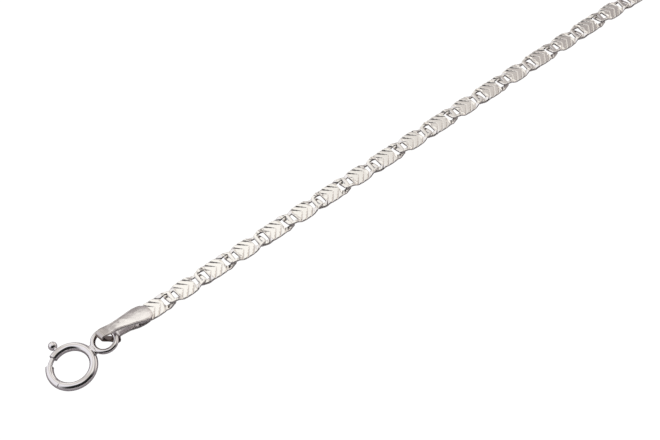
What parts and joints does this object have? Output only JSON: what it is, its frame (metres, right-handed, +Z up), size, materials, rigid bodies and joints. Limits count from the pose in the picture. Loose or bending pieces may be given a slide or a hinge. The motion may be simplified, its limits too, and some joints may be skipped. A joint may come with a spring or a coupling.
{
  "type": "chain bracelet",
  "caption": "Slim flat chain bracelet of engraved lens-shaped plates, laid out open, with a folded end cap and a spring-ring clasp with a sliding gate.",
  "frame": {"origin": "middle of the laid-out bracelet's footprint, on the surface that it lies on", "axes": "+X along the straight run of the chain, away from the clasp; +Y across it towards the turned-back end; +Z up"},
  "size_m": [0.12, 0.044, 0.0032],
  "materials": {
    "chain_metal": "bright cut white metal, polished, engraved with chevrons",
    "cap_metal": "satin white metal",
    "clasp_metal": "polished white metal"
  },
  "bodies": {
    "bracelet": {"link_01": "chain_metal", "link_02": "chain_metal", "link_03": "chain_metal", "link_04": "chain_metal", "link_05": "chain_metal", "link_06": "chain_metal", "link_07": "chain_metal", "link_08": "chain_metal", "link_09": "chain_metal", "link_10": "chain_metal", "link_11": "chain_metal", "link_12": "chain_metal", "link_13": "chain_metal", "link_14": "chain_metal", "link_15": "chain_metal", "link_16": "chain_metal", "link_17": "chain_metal", "link_18": "chain_metal", "link_19": "chain_metal", "link_20": "chain_metal", "link_21": "chain_metal", "link_22": "chain_metal", "link_23": "chain_metal", "link_24": "chain_metal", "link_25": "chain_metal", "link_26": "chain_metal", "link_27": "chain_metal", "link_28": "chain_metal", "link_29": "chain_metal", "link_30": "chain_metal", "link_31": "chain_metal", "link_32": "chain_metal", "link_33": "chain_metal", "link_34": "chain_metal", "link_35": "chain_metal", "link_36": "chain_metal", "clasp_end_cap": "cap_metal", "spring_ring": "clasp_metal", "far_end_cap": "cap_metal", "jump_ring": "clasp_metal"},
    "gate": {"gate": "clasp_metal"}
  },
  "joints": [
    {"name": "gate_slide", "type": "hinge", "parent": "bracelet", "child": "gate", "pos_m": [-0.057, -0.01895, 0.0009], "axis": [0.1616, 0, -0.9869], "range_deg": [0, 29], "stiffness_Nm_per_rad": 0.002, "springref_deg": -11.46}
  ]
}
